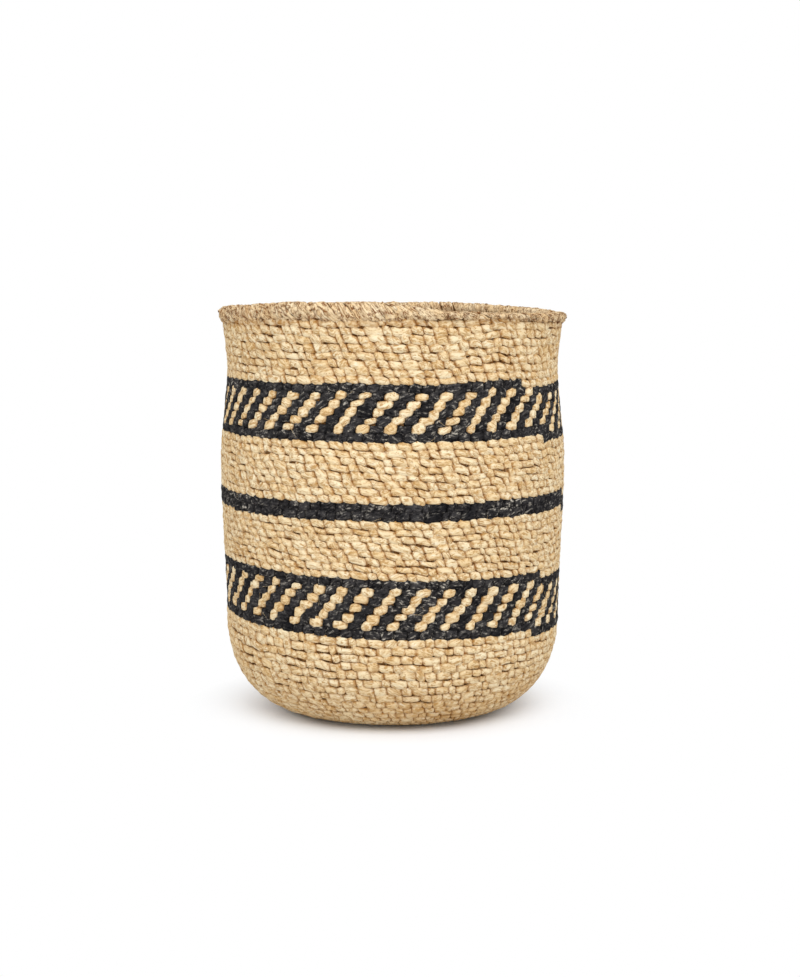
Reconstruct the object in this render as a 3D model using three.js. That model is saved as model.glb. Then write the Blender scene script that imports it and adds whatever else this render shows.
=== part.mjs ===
// A round, open basket twined by hand from straw-coloured strands, with two patterned black bands and a
// black stripe between them. Sizes are in millimetres, +Z is up, and the origin is the centre of the
// underside. Angles are counted from the front, which faces -Y, towards +X.
//
// The wall has three layers. Stakes run from the start knot under the centre out across the base and up
// to the border. The weft runs round them on both faces: one run on the outside, one on the inside. It
// is a single spiral that climbs one course in each turn, so every change of colour is a helix that
// ends one course above its own start, and the two ends meet at the step.

import * as THREE from "three";
import { mergeVertices } from "three/addons/utils/BufferGeometryUtils.js";

// Driving dimensions of the outer face, where each stretch is measured on from the one below it
const baseFlatRadius = 82; // the flat ring that the basket stands on
const heelHeight = 80; // the rounded heel ends here and the wall begins
const heelFullness = 2.1; // 2 would make the heel's profile a quarter of an ellipse
const lowerWallRadius = 145.6;
const bellyAboveHeel = 135;
const bellySwell = 4.2; // the belly, the widest place, stands out past the lower wall
const neckAboveBelly = 85;
const neckDrawnIn = 6.4; // the neck is narrower than the belly
const mouthAboveNeck = 41; // up to the last course, halfway round
const mouthFlare = 3.6; // the mouth opens out again past the neck

const bellyHeight = heelHeight + bellyAboveHeel;
const bellyRadius = lowerWallRadius + bellySwell;
const neckHeight = bellyHeight + neckAboveBelly;
const neckRadius = bellyRadius - neckDrawnIn;
const mouthHeight = neckHeight + mouthAboveNeck;
const mouthRadius = neckRadius + mouthFlare;

// The woven layers
const weftThickness = 2.2;
const stakeThickness = 1.6;
const layerGap = 0.5; // clearance between stakes and weft on either face
const courseHeight = 6.8; // one row of stitches, and the climb of the spiral in one turn
const pieceGap = 0.4; // clearance between neighbours in one layer
const knotRadius = 12;

// The coloured lengths of the wall, from the ground up, as heights halfway round each turn
const heelSplitHeight = 26; // where the second length of heel weft begins
const lowerBandBottom = 82.8;
const lowerBandHeight = 47.9;
const lowerWallHeight = 48.3;
const stripeHeight = 13.8;
const middleWallHeight = 50.3;
const upperBandHeight = 45.8;

const lowerBandTop = lowerBandBottom + lowerBandHeight;
const stripeBottom = lowerBandTop + lowerWallHeight;
const stripeTop = stripeBottom + stripeHeight;
const upperBandBottom = stripeTop + middleWallHeight;
const upperBandTop = upperBandBottom + upperBandHeight;

// The courses aren't quite level: they hang lower on the right and stand higher on the left
const lowerBandLean = 5.6;
const stripeLean = 2;

// The stakes
const stakeFans = 12; // six bundles cross under the knot, and each end spreads as one fan
const stepAngle = THREE.MathUtils.degToRad(60); // where the colours start and end

// The border: a bundle laid on the last course, under a strand that is wound over the edge
const borderCoreWidth = 6;
const borderCoreHeight = 7.4;
const borderWrapThickness = 3.4;
const borderWrapCrown = 2.6; // thickness of the winding over the top
const borderSkirt = 5; // how far the winding reaches down past the last course
const borderGap = 0.6; // clearance between the winding and what it holds
const borderStepAngle = THREE.MathUtils.degToRad(8); // where the last course runs out
const borderStepSpan = THREE.MathUtils.degToRad(18); // and drops to the course below

// Fineness of the faceted faces
const facets = 36; // round the basket, a whole number for each fan of stakes
const chordSag = 0.3; // how far a flat facet may lie from the curve that it follows up the wall
const arcSamples = 400; // points that measure each curved stretch of the profile

const wallThickness = 2 * weftThickness + stakeThickness + 2 * layerGap;
const facetAngle = (2 * Math.PI) / facets;

// The outer profile as radius and height, with t from 0 to 1 along each of its stretches
const blend = (a, b, t) => a + (b - a) * THREE.MathUtils.smoothstep(t, 0, 1);

function wallRadiusAt(height) {
  if (height < bellyHeight) {
    return blend(lowerWallRadius, bellyRadius, (height - heelHeight) / (bellyHeight - heelHeight));
  }
  if (height < neckHeight) {
    return blend(bellyRadius, neckRadius, (height - bellyHeight) / (neckHeight - bellyHeight));
  }
  return blend(neckRadius, mouthRadius, (height - neckHeight) / (mouthHeight - neckHeight));
}

function sampleProfile() {
  const points = [new THREE.Vector2(0, 0), new THREE.Vector2(baseFlatRadius, 0)];
  for (let i = 1; i <= arcSamples; i++) {
    const turn = (i / arcSamples) * (Math.PI / 2);
    points.push(
      new THREE.Vector2(
        baseFlatRadius + (lowerWallRadius - baseFlatRadius) * Math.sin(turn) ** (2 / heelFullness),
        heelHeight * (1 - Math.cos(turn) ** (2 / heelFullness)),
      ),
    );
  }
  const top = mouthHeight + 2 * courseHeight;
  for (let i = 1; i <= arcSamples; i++) {
    const height = heelHeight + ((top - heelHeight) * i) / arcSamples;
    points.push(new THREE.Vector2(wallRadiusAt(height), height));
  }
  return points;
}

const profile = sampleProfile();
const arcLengths = [0];
for (let i = 1; i < profile.length; i++) {
  arcLengths.push(arcLengths[i - 1] + profile[i].distanceTo(profile[i - 1]));
}

// The arc length along the profile at a height on the heel or the wall
function arcAtHeight(height) {
  const i = Math.max(2, profile.findIndex((p) => p.y > height));
  const t = (height - profile[i - 1].y) / (profile[i].y - profile[i - 1].y);
  return arcLengths[i - 1] + t * (arcLengths[i] - arcLengths[i - 1]);
}

// The point at an arc length along the profile, a depth below the outer face
function profilePoint(arc, depth) {
  let i = arcLengths.findIndex((length) => length > arc);
  if (i < 1) {
    i = arcLengths.length - 1;
  }
  const t = (arc - arcLengths[i - 1]) / (arcLengths[i] - arcLengths[i - 1]);
  const place = profile[i - 1].clone().lerp(profile[i], t);
  const before = profile[Math.max(0, i - 2)];
  const after = profile[Math.min(profile.length - 1, i + 1)];
  const along = (arc <= baseFlatRadius ? new THREE.Vector2(1, 0) : after.clone().sub(before)).normalize();
  return new THREE.Vector2(place.x - along.y * depth, place.y + along.x * depth);
}

// The point at an angle round the basket, shifted sideways by a few tenths of a millimetre
function aroundAxis(point, angle, sideways = 0) {
  const shifted = angle + Math.asin(sideways / point.x);
  return [point.x * Math.sin(shifted), -point.x * Math.cos(shifted), point.y];
}

// How far a course has climbed from its middle at an angle, from -1/2 to +1/2 of a course
const turnsPast = (angle, start) => THREE.MathUtils.euclideanModulo((angle - start) / (2 * Math.PI), 1);
const climb = (turns) => courseHeight * (turns - 0.5);

// How far a course at a height leans, which dies out at the base and at the mouth
function leanAt(height) {
  const lowerBandMiddle = lowerBandBottom + lowerBandHeight / 2;
  const stripeMiddle = stripeBottom + stripeHeight / 2;
  if (height < lowerBandMiddle) {
    return blend(0, lowerBandLean, height / lowerBandMiddle);
  }
  if (height < stripeMiddle) {
    return blend(lowerBandLean, stripeLean, (height - lowerBandMiddle) / (stripeMiddle - lowerBandMiddle));
  }
  return blend(stripeLean, 0, (height - stripeMiddle) / (upperBandTop - stripeMiddle));
}

// The last course follows the same climb, and comes down over a short span where it runs out
function mouthClimb(angle) {
  const span = borderStepSpan / (2 * Math.PI);
  const turns = turnsPast(angle, borderStepAngle + borderStepSpan / 2);
  const rising = turns / (1 - span);
  return climb(rising <= 1 ? rising : 1 - (turns - (1 - span)) / span);
}

const mouthArc = arcAtHeight(mouthHeight);

// A closed mesh from a grid of places: rows[i][j] is a loop of points, and rows follow each other
function loftedSolid(rows, closed) {
  const loop = rows[0].length;
  const positions = new Float32Array(rows.flat(2));
  const indices = [];
  const spans = closed ? rows.length : rows.length - 1;
  for (let i = 0; i < spans; i++) {
    const next = (i + 1) % rows.length;
    for (let j = 0; j < loop; j++) {
      const a = i * loop + j;
      const b = i * loop + ((j + 1) % loop);
      const c = next * loop + ((j + 1) % loop);
      const d = next * loop + j;
      indices.push(a, c, b, a, d, c);
    }
  }
  if (!closed) {
    const last = (rows.length - 1) * loop;
    const pairs = loop / 2;
    for (let j = 0; j < pairs - 1; j++) {
      const a = j;
      const b = j + 1;
      const c = loop - 2 - j;
      const d = loop - 1 - j;
      indices.push(a, b, c, a, c, d);
      indices.push(last + a, last + c, last + b, last + a, last + d, last + c);
    }
  }
  const geometry = new THREE.BufferGeometry();
  geometry.setAttribute("position", new THREE.BufferAttribute(positions, 3));
  geometry.setIndex(indices);
  const merged = mergeVertices(geometry, 1e-4);
  merged.computeVertexNormals();
  return merged;
}

// One loop of points round the section of a layer: up its outer face and down its inner one
function sectionLoop(arcs, layer, angle, sideways) {
  const outer = arcs.map((arc) => aroundAxis(profilePoint(arc, layer.from), angle, sideways));
  const inner = arcs.map((arc) => aroundAxis(profilePoint(arc, layer.to), angle, sideways));
  return [...outer, ...inner.reverse()];
}

const outsideLayer = { from: 0, to: weftThickness };
const stakeLayer = {
  from: weftThickness + layerGap,
  to: weftThickness + layerGap + stakeThickness,
};
const insideLayer = { from: wallThickness - weftThickness, to: wallThickness };

// How far the profile swells from the chord between two arc lengths
function sagBetween(from, to) {
  const a = profilePoint(from, 0);
  const b = profilePoint(to, 0);
  const chord = b.clone().sub(a);
  return Math.max(
    ...[0.25, 0.5, 0.75].map((t) => {
      const offset = profilePoint(from + (to - from) * t, 0).sub(a);
      return Math.abs(offset.cross(chord)) / chord.length();
    }),
  );
}

// Shares of the way from one arc length to another, each step as long as the sag allows
function stationShares(from, to) {
  const shares = [0];
  let at = from;
  while (at < to) {
    let next = to;
    while (sagBetween(at, next) > chordSag) {
      next -= 0.1 * (next - at);
    }
    at = next;
    shares.push((at - from) / (to - from));
  }
  return shares;
}

// A run of weft between two colour changes: nearly one turn wide, with its ends at the step
function weftGeometry(run, layer) {
  const shares = stationShares(run.from, run.to);
  const lowerLean = leanAt(profilePoint(run.from, 0).y);
  const upperLean = leanAt(profilePoint(run.to, 0).y);
  const rows = [];
  for (let i = 0; i <= facets; i++) {
    const angle = stepAngle + i * facetAngle;
    const turns = i / facets;
    const start = run.startsAtKnot ? 0 : climb(turns) - lowerLean * Math.sin(angle);
    const end = run.endsAtMouth ? mouthClimb(angle) : climb(turns) - upperLean * Math.sin(angle);
    const lower = run.from + start + pieceGap / 2;
    const upper = run.to + end - pieceGap / 2;
    const arcs = shares.map((share) => lower + (upper - lower) * share);
    const sideways = i === 0 ? pieceGap / 2 : i === facets ? -pieceGap / 2 : 0;
    rows.push(sectionLoop(arcs, layer, angle, sideways));
  }
  return loftedSolid(rows, false);
}

// A fan of stakes from the knot to the last course
function stakeFanGeometry(index) {
  const facetsEach = facets / stakeFans;
  const start = knotRadius + pieceGap;
  const shares = stationShares(start, mouthArc);
  const rows = [];
  for (let i = 0; i <= facetsEach; i++) {
    const angle = stepAngle + (index * facetsEach + i) * facetAngle;
    const arcs = shares.map((share) => start + (mouthArc - start) * share);
    arcs[arcs.length - 1] += mouthClimb(angle);
    const sideways = i === 0 ? pieceGap / 2 : i === facetsEach ? -pieceGap / 2 : 0;
    rows.push(sectionLoop(arcs, stakeLayer, angle, sideways));
  }
  return loftedSolid(rows, false);
}

// The knot where the crossing stakes are tied: a low drum as thick as the base
function knotGeometry() {
  const drum = new THREE.CylinderGeometry(
    knotRadius - pieceGap,
    knotRadius - pieceGap,
    wallThickness,
    facets,
  );
  return drum.rotateX(Math.PI / 2).translate(0, 0, wallThickness / 2);
}

// A ring that follows the last course, from the section of the border as offsets from the mouth
function borderGeometry(section) {
  const rows = [];
  for (let i = 0; i < facets; i++) {
    const angle = i * facetAngle;
    const rise = mouthHeight + mouthClimb(angle);
    rows.push(section.map(([x, y]) => aroundAxis(new THREE.Vector2(mouthRadius + x, rise + y), angle)));
  }
  return loftedSolid(rows, true);
}

// The border's sections, as offsets outwards from the outer face and upwards from the last course
const middle = -wallThickness / 2;

function coreSection() {
  const corners = [];
  const sides = 8;
  for (let i = 0; i < sides; i++) {
    const turn = ((i + 0.5) / sides) * 2 * Math.PI;
    const reach = 1 / Math.cos(Math.PI / sides);
    corners.push([
      middle + (borderCoreWidth / 2) * Math.cos(turn) * reach,
      borderGap + borderCoreHeight * (0.5 + 0.5 * Math.sin(turn) * reach),
    ]);
  }
  return corners;
}

function wrapSection() {
  const half = wallThickness / 2 + borderGap;
  const outside = half + borderWrapThickness;
  const ceiling = 2 * borderGap + borderCoreHeight;
  const top = ceiling + borderWrapCrown;
  const shoulder = outside * 0.55; // the crown is round, so its corners are cut back
  const roundFrom = top * 0.5;
  const half1 = [
    [outside * 0.86, -borderSkirt],
    [outside, -borderSkirt * 0.3],
    [outside, roundFrom],
    [shoulder + (outside - shoulder) * 0.7, top - (top - roundFrom) * 0.3],
    [shoulder * 0.75, top],
  ];
  const mirrored = half1.map(([x, y]) => [-x, y]).reverse();
  return [
    ...half1,
    ...mirrored,
    [-half, -borderSkirt],
    [-half, ceiling],
    [half, ceiling],
    [half, -borderSkirt],
  ].map(([x, y]) => [middle + x, y]);
}

// Materials
const straw = (color, roughness = 0.75) =>
  new THREE.MeshStandardMaterial({ color, roughness, metalness: 0, flatShading: true });
const naturalStraw = straw(0xdcbd88);
const blackStraw = straw(0x2c2b2e, 0.65);
const stakeStraw = straw(0xb48a52);
const borderStraw = straw(0xcfae78);

const basket = new THREE.Group();

function addPiece(name, geometry, material) {
  const mesh = new THREE.Mesh(geometry, material);
  mesh.name = name;
  basket.add(mesh);
}

// The runs of weft from the knot to the border. In a plain run both strands have one colour. Through a
// whole band runs one black strand. The strand twined with it is black in the band's first and last
// course, and natural in the patterned courses between them.
const at = arcAtHeight;
const heelStart = baseFlatRadius - courseHeight;
const lowerPatternFrom = at(lowerBandBottom) + courseHeight;
const lowerPatternTo = at(lowerBandTop) - courseHeight;
const upperPatternFrom = at(upperBandBottom) + courseHeight;
const upperPatternTo = at(upperBandTop) - courseHeight;

const plainRuns = [
  { name: "base_weft", from: knotRadius, to: heelStart, startsAtKnot: true },
  { name: "heel_weft_first_length", from: heelStart, to: at(heelSplitHeight) },
  { name: "heel_weft_second_length", from: at(heelSplitHeight), to: at(lowerBandBottom) },
  { name: "lower_wall_weft", from: at(lowerBandTop), to: at(stripeBottom) },
  { name: "stripe_weft", from: at(stripeBottom), to: at(stripeTop), black: true },
  { name: "middle_wall_weft", from: at(stripeTop), to: at(upperBandBottom) },
  { name: "top_wall_weft", from: at(upperBandTop), to: mouthArc, endsAtMouth: true },
];
const bandStrands = [
  { name: "lower_band_black_strand", from: at(lowerBandBottom), to: at(lowerBandTop), outside: true },
  { name: "lower_band_first_course_strand", from: at(lowerBandBottom), to: lowerPatternFrom },
  { name: "lower_band_natural_strand", from: lowerPatternFrom, to: lowerPatternTo, natural: true },
  { name: "lower_band_last_course_strand", from: lowerPatternTo, to: at(lowerBandTop) },
  { name: "upper_band_black_strand", from: at(upperBandBottom), to: at(upperBandTop), outside: true },
  { name: "upper_band_first_course_strand", from: at(upperBandBottom), to: upperPatternFrom },
  { name: "upper_band_natural_strand", from: upperPatternFrom, to: upperPatternTo, natural: true },
  { name: "upper_band_last_course_strand", from: upperPatternTo, to: at(upperBandTop) },
];

addPiece("start_knot", knotGeometry(), stakeStraw);
for (let i = 0; i < stakeFans; i++) {
  addPiece(`stake_fan_${String(i + 1).padStart(2, "0")}`, stakeFanGeometry(i), stakeStraw);
}
for (const run of plainRuns) {
  const colour = run.black ? blackStraw : naturalStraw;
  addPiece(`${run.name}_outside`, weftGeometry(run, outsideLayer), colour);
  addPiece(`${run.name}_inside`, weftGeometry(run, insideLayer), colour);
}
for (const strand of bandStrands) {
  const layer = strand.outside ? outsideLayer : insideLayer;
  addPiece(strand.name, weftGeometry(strand, layer), strand.natural ? naturalStraw : blackStraw);
}
addPiece("border_core", borderGeometry(coreSection()), stakeStraw);
addPiece("border_wrap", borderGeometry(wrapSection()), borderStraw);

export default basket;
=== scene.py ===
# A round, open basket twined by hand from straw-coloured strands. Two strands run as one spiral from the
# knot under the centre to the border, and change places at every stitch, so each is laid here as one
# long tube that weaves in and out between the stakes. Sizes are in metres and angles in radians, counted
# from the front, which faces -Y, towards +X.

import math

import bpy
import numpy as np
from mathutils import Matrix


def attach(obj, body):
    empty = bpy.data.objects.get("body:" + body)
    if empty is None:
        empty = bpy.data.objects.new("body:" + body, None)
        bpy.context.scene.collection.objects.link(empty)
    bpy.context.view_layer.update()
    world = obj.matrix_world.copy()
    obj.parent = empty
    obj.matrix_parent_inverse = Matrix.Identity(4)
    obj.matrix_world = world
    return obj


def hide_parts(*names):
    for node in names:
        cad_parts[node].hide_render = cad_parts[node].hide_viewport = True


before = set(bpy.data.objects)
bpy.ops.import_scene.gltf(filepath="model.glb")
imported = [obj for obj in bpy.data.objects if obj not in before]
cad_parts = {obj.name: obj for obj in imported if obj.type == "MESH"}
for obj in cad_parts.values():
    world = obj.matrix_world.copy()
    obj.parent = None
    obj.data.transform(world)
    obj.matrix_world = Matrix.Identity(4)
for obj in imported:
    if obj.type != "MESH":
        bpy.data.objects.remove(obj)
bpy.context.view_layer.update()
random = np.random.default_rng(7)

MM = 0.001

# The outer face of the wall, as in the part's source
BASE_FLAT_RADIUS = 82 * MM
HEEL_HEIGHT = 80 * MM
HEEL_FULLNESS = 2.1  # 2 would make the heel a quarter of an ellipse
LOWER_WALL_RADIUS = 145.6 * MM
BELLY_HEIGHT = 215 * MM
BELLY_RADIUS = 149.8 * MM
NECK_HEIGHT = 300 * MM
NECK_RADIUS = 143.4 * MM
MOUTH_HEIGHT = 341 * MM
MOUTH_RADIUS = 147 * MM
WALL_MIDDLE = 3.5 * MM  # depth of the stakes' middle below the outer face
KNOT_RADIUS = 12 * MM
COURSE = 6.8 * MM

# The two strands of the weft
STRAND_SWING = 2.05 * MM  # how far a strand's middle stands out from the stakes' middle
STRAND_HALF_THICKNESS = 1.3 * MM
NATURAL_FILL = 0.57  # a strand's half width as a share of its course
HEEL_FILL = 0.545
DOT_FILL = 0.6  # where a natural strand makes the dots of a band
BLACK_FILL = 0.63
STRAND_LEAN = 0.5 * MM  # it enters a stitch this much high and leaves it as much low
HEEL_LEAN = 0.4  # share of that lean in the heel
BLACK_LEAN = -0.5  # and where there is black, which turns it the other way
JOINT_NARROWING = 0.2
BLACK_NARROWING = 0.04
DOT_NARROWING = 0.44
JOINT_BULGE = 0.5  # the strands bunch up where they cross
DOT_BULGE = 0  # but a strand that makes dots stays low there
JOINT_REACH = 0.45  # how much of a stitch that narrowing and bulging takes in
JOINT_SLANT = 0.3  # sideways slant of the joints, as a share of the strand's width
JOINT_STEEPNESS = 2.9  # how suddenly the strands change places
BORDER_SHADE = 0.55  # how much darker the strands are where they reach the border's lower edge
SHADE_REACH = 6.5 * MM
STITCHES_ROUND = 83.5  # a half stitch over, so that each course breaks joint with the last

# The courses lean lower on the right, and they waver
LOWER_BAND_LEAN = 5.6 * MM
STRIPE_LEAN = 2 * MM
WAVER = 0.34 * MM
EDGE_WAVER = 0.45  # share of it beside a change of colour
CALM_REACH = 3 * COURSE  # how far from the change that calm reaches
STAKE_LEAN = 0.091  # the stakes, and the joints with them, lean to the right as they rise

# The border
BORDER_WRAPS = 84
BORDER_HALF_WIDTH = 6.5 * MM
BORDER_STRAND_THICKNESS = 1.9 * MM
BORDER_HEADING = math.radians(38)  # a wrap leans this far off the upright
BORDER_STEP = 18  # degrees from the front, where the border's height drops back
# Heights in mm of the border's edges by degrees from the front: it climbs all the way round to its step
BORDER_TOPS = (
    (18, 348.8),
    (45, 346.4),
    (75, 344.4),
    (106, 343.8),
    (118, 345.6),
    (130, 346.6),
    (160, 349),
    (200, 349),
    (245, 348.2),
    (270, 348.2),
    (294, 351.2),
    (325, 356),
    (358, 356.2),
    (378, 348.8),
)
BORDER_BOTTOMS = (
    (18, 343.6),
    (45, 342.8),
    (75, 337),
    (106, 334),
    (180, 340),
    (250, 336.5),
    (275, 336),
    (300, 340),
    (325, 342),
    (360, 342),
    (378, 343.6),
)

STEP_ANGLE = math.radians(60)  # a course is counted from here
FULL_TURN = 2 * math.pi


def blend(low, high, share):
    """A smooth change from one value to another."""
    share = np.clip(share, 0, 1)
    return low + (high - low) * share * share * (3 - 2 * share)


def border_height(edge, angle):
    """Height of the border's top or bottom edge."""
    degrees = (np.degrees(angle) - BORDER_STEP) % 360 + BORDER_STEP
    places, heights = zip(*edge)
    return np.interp(degrees, places, heights) * MM


# The profile of the outer face


def wall_radius(height):
    heel_to_belly = (height - HEEL_HEIGHT) / (BELLY_HEIGHT - HEEL_HEIGHT)
    belly_to_neck = (height - BELLY_HEIGHT) / (NECK_HEIGHT - BELLY_HEIGHT)
    neck_to_mouth = (height - NECK_HEIGHT) / (MOUTH_HEIGHT - NECK_HEIGHT)
    return (
        blend(LOWER_WALL_RADIUS, BELLY_RADIUS, heel_to_belly)
        + blend(0, NECK_RADIUS - BELLY_RADIUS, belly_to_neck)
        + blend(0, MOUTH_RADIUS - NECK_RADIUS, neck_to_mouth)
    )


FLAT_STEPS = 60
HEEL_STEPS = 200
WALL_STEPS = 300


def profile():
    """Radius and height along the outer face, from the centre of the base to above the mouth."""
    flat = np.linspace(0, BASE_FLAT_RADIUS, FLAT_STEPS)
    turn = np.linspace(0, math.pi / 2, HEEL_STEPS)[1:]
    outward = np.sin(turn) ** (2 / HEEL_FULLNESS)
    upward = 1 - np.abs(np.cos(turn)) ** (2 / HEEL_FULLNESS)
    heel_radius = BASE_FLAT_RADIUS + (LOWER_WALL_RADIUS - BASE_FLAT_RADIUS) * outward
    heel_height = HEEL_HEIGHT * upward
    wall_height = np.linspace(HEEL_HEIGHT, MOUTH_HEIGHT + 4 * COURSE, WALL_STEPS)[1:]
    radii = np.concatenate([flat, heel_radius, wall_radius(wall_height)])
    heights = np.concatenate([np.zeros_like(flat), heel_height, wall_height])
    return radii, heights


RADII, HEIGHTS = profile()
STEPS = np.hypot(np.diff(RADII), np.diff(HEIGHTS))
ARCS = np.concatenate([[0], np.cumsum(STEPS)])
ALONG_RADIUS = np.gradient(RADII, ARCS)
ALONG_HEIGHT = np.gradient(HEIGHTS, ARCS)


def arc_at_height(height):
    """Arc length along the profile at a height on the heel or the wall."""
    rising = HEIGHTS > 0
    return float(np.interp(height, HEIGHTS[rising], ARCS[rising]))


def on_wall(arc, angle, depth):
    """Points at an arc length up the profile, an angle round it and a depth below its outer face."""
    radius = np.interp(arc, ARCS, RADII) - np.interp(arc, ARCS, ALONG_HEIGHT) * depth
    height = np.interp(arc, ARCS, HEIGHTS) + np.interp(arc, ARCS, ALONG_RADIUS) * depth
    return np.stack([radius * np.sin(angle), -radius * np.cos(angle), height], axis=-1)


# The spiral: how far up the profile a course lies after a number of turns

LOWER_BAND_BOTTOM = 82.8 * MM
LOWER_BAND_TOP = 130.7 * MM
STRIPE_BOTTOM = 179 * MM
STRIPE_TOP = 192.8 * MM
UPPER_BAND_BOTTOM = 243.1 * MM
UPPER_BAND_TOP = 288.9 * MM

COURSES = {
    "knot": 0,
    "lower band": 31,
    "lower wall": 38,
    "stripe": 46,
    "middle wall": 48,
    "upper band": 56,
    "top wall": 63,
    "mouth": 71,
}
MOUTH_ARC = arc_at_height(MOUTH_HEIGHT)
EDGE_ARCS = [
    KNOT_RADIUS,
    arc_at_height(LOWER_BAND_BOTTOM),
    arc_at_height(LOWER_BAND_TOP),
    arc_at_height(STRIPE_BOTTOM),
    arc_at_height(STRIPE_TOP),
    arc_at_height(UPPER_BAND_BOTTOM),
    arc_at_height(UPPER_BAND_TOP),
    MOUTH_ARC,
]
EDGE_TURNS = list(COURSES.values())
TOP_COURSE = (MOUTH_ARC - EDGE_ARCS[-2]) / (EDGE_TURNS[-1] - EDGE_TURNS[-2])
FIRST_TURN = -2  # the spiral starts inside the knot
BASE_TURNS = 17  # finer courses as far as the basket stands on
BASE_ARC = 97 * MM
SPIRAL_TURNS = np.array([FIRST_TURN, 0, BASE_TURNS, *EDGE_TURNS[1:], EDGE_TURNS[-1] + 1])
SPIRAL_ARCS = np.array([0.5 * MM, KNOT_RADIUS, BASE_ARC, *EDGE_ARCS[1:], MOUTH_ARC + TOP_COURSE])

# The stitches get more as the base widens, and stay the same from the heel up: from each of these
# turns on, a turn has this many
STITCH_LEVELS = (
    (FIRST_TURN, 6.5),
    (0, 10.5),
    (2, 20.5),
    (5, 31.5),
    (9, 52.5),
    (14, STITCHES_ROUND),
)
LEVEL_TURNS = np.array([start for start, _ in STITCH_LEVELS] + [EDGE_TURNS[-1] + 2])
LEVEL_RATES = np.array([rate for _, rate in STITCH_LEVELS])
LEVEL_STITCHES = np.concatenate([[0], np.cumsum(LEVEL_RATES * np.diff(LEVEL_TURNS))])
STITCH_PHASE = 0.65  # where in a stitch the counting starts


def spiral_arc(turns):
    return np.interp(turns, SPIRAL_TURNS, SPIRAL_ARCS)


def stitches_at(turns):
    return np.interp(turns, LEVEL_TURNS, LEVEL_STITCHES + STITCH_PHASE)


def turns_at(stitches):
    return np.interp(stitches, LEVEL_STITCHES + STITCH_PHASE, LEVEL_TURNS)


# Waves that all courses share, so that neighbours stay together: long ones, and short ones on them

LONG_WAVES = 10
LONG_WAVES_ROUND = (1, 10)  # least number of waves round the basket, and one above the most
LONG_WAVE_RISE = 70 * MM  # least way up the wall from a wave to the next
SHORT_WAVES = 12
SHORT_WAVES_ROUND = (12, 40)
SHORT_WAVE_RISE = 22 * MM
SHORT_WAVE_SIZE = 0.55  # beside a long one's
wave_counts = np.concatenate([
    random.integers(*LONG_WAVES_ROUND, LONG_WAVES),
    random.integers(*SHORT_WAVES_ROUND, SHORT_WAVES),
])
wave_rises = np.concatenate([
    random.uniform(-1, 1, LONG_WAVES) * FULL_TURN / LONG_WAVE_RISE,
    random.uniform(-1, 1, SHORT_WAVES) * FULL_TURN / SHORT_WAVE_RISE,
])
wave_sizes = np.repeat([1.0, SHORT_WAVE_SIZE], [LONG_WAVES, SHORT_WAVES])
wave_starts = random.uniform(0, FULL_TURN, (2, LONG_WAVES + SHORT_WAVES))


def waves(angle, arc, which):
    """The waves together: set 0 moves courses up and down, and set 1 moves stitches sideways."""
    phase = wave_counts * angle[..., None] + wave_rises * arc[..., None] + wave_starts[which]
    return (wave_sizes * np.sin(phase)).sum(axis=-1)


def leaning(arc):
    """How far a course leans, which dies out at the base and at the mouth."""
    height = np.interp(arc, ARCS, HEIGHTS)
    band_middle = (LOWER_BAND_BOTTOM + LOWER_BAND_TOP) / 2
    stripe_middle = (STRIPE_BOTTOM + STRIPE_TOP) / 2
    rise = blend(0, LOWER_BAND_LEAN, height / band_middle)
    fall = blend(0, STRIPE_LEAN - LOWER_BAND_LEAN, (height - band_middle) / (stripe_middle - band_middle))
    end = blend(0, -STRIPE_LEAN, (height - stripe_middle) / (UPPER_BAND_TOP - stripe_middle))
    return rise + fall + end


def course_shift(angle, arc):
    """How far a course lies above its even place on the spiral."""
    growth = np.clip(arc / EDGE_ARCS[1], 0, 1)
    from_change = np.abs(arc[..., None] - np.array(EDGE_ARCS[1:-1])).min(axis=-1)
    wavering = WAVER * growth * blend(EDGE_WAVER, 1, from_change / CALM_REACH)
    return -leaning(arc) * np.sin(angle) + wavering * waves(angle, arc, 0)


def course_height(turns, angle):
    """Height of the course that the spiral lays at a number of turns."""
    low, high = spiral_arc(turns - 0.5), spiral_arc(turns + 0.5)
    return high - low + course_shift(angle, high) - course_shift(angle, low)


def sideways_shift(angle, arc):
    """How far stitches and stakes lie to the side of their even places, as an angle."""
    growth = np.clip(arc / EDGE_ARCS[1], 0, 1)
    above_middle = np.maximum(arc, EDGE_ARCS[1]) - EDGE_ARCS[3]
    return (WAVER * growth * waves(angle, arc, 1) + STAKE_LEAN * above_middle) / MOUTH_RADIUS


# Meshes: each piece is one or more closed tubes of rings


def tube(rings, closed=False, **marks):
    """A tube from rings of points, with the values that its material reads at each point."""
    return {"rings": rings, "closed": closed, "marks": marks}


def tube_faces(tube_parts, first):
    """Corner lists for the sides and the two ends of a tube whose points start at a number."""
    count, around = tube_parts["rings"].shape[:2]
    ring = np.arange(count if tube_parts["closed"] else count - 1)
    side = np.arange(around)
    here = (ring * around)[:, None]
    there = ((ring + 1) % count * around)[:, None]
    next_side = (side + 1) % around
    quads = np.stack([here + side, here + next_side, there + next_side, there + side], axis=-1)
    quads = quads.reshape(-1, 4) + first
    if tube_parts["closed"]:
        return quads, []
    start = (side[::-1] + first).tolist()
    end = (side + first + (count - 1) * around).tolist()
    return quads, [start, end]


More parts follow.
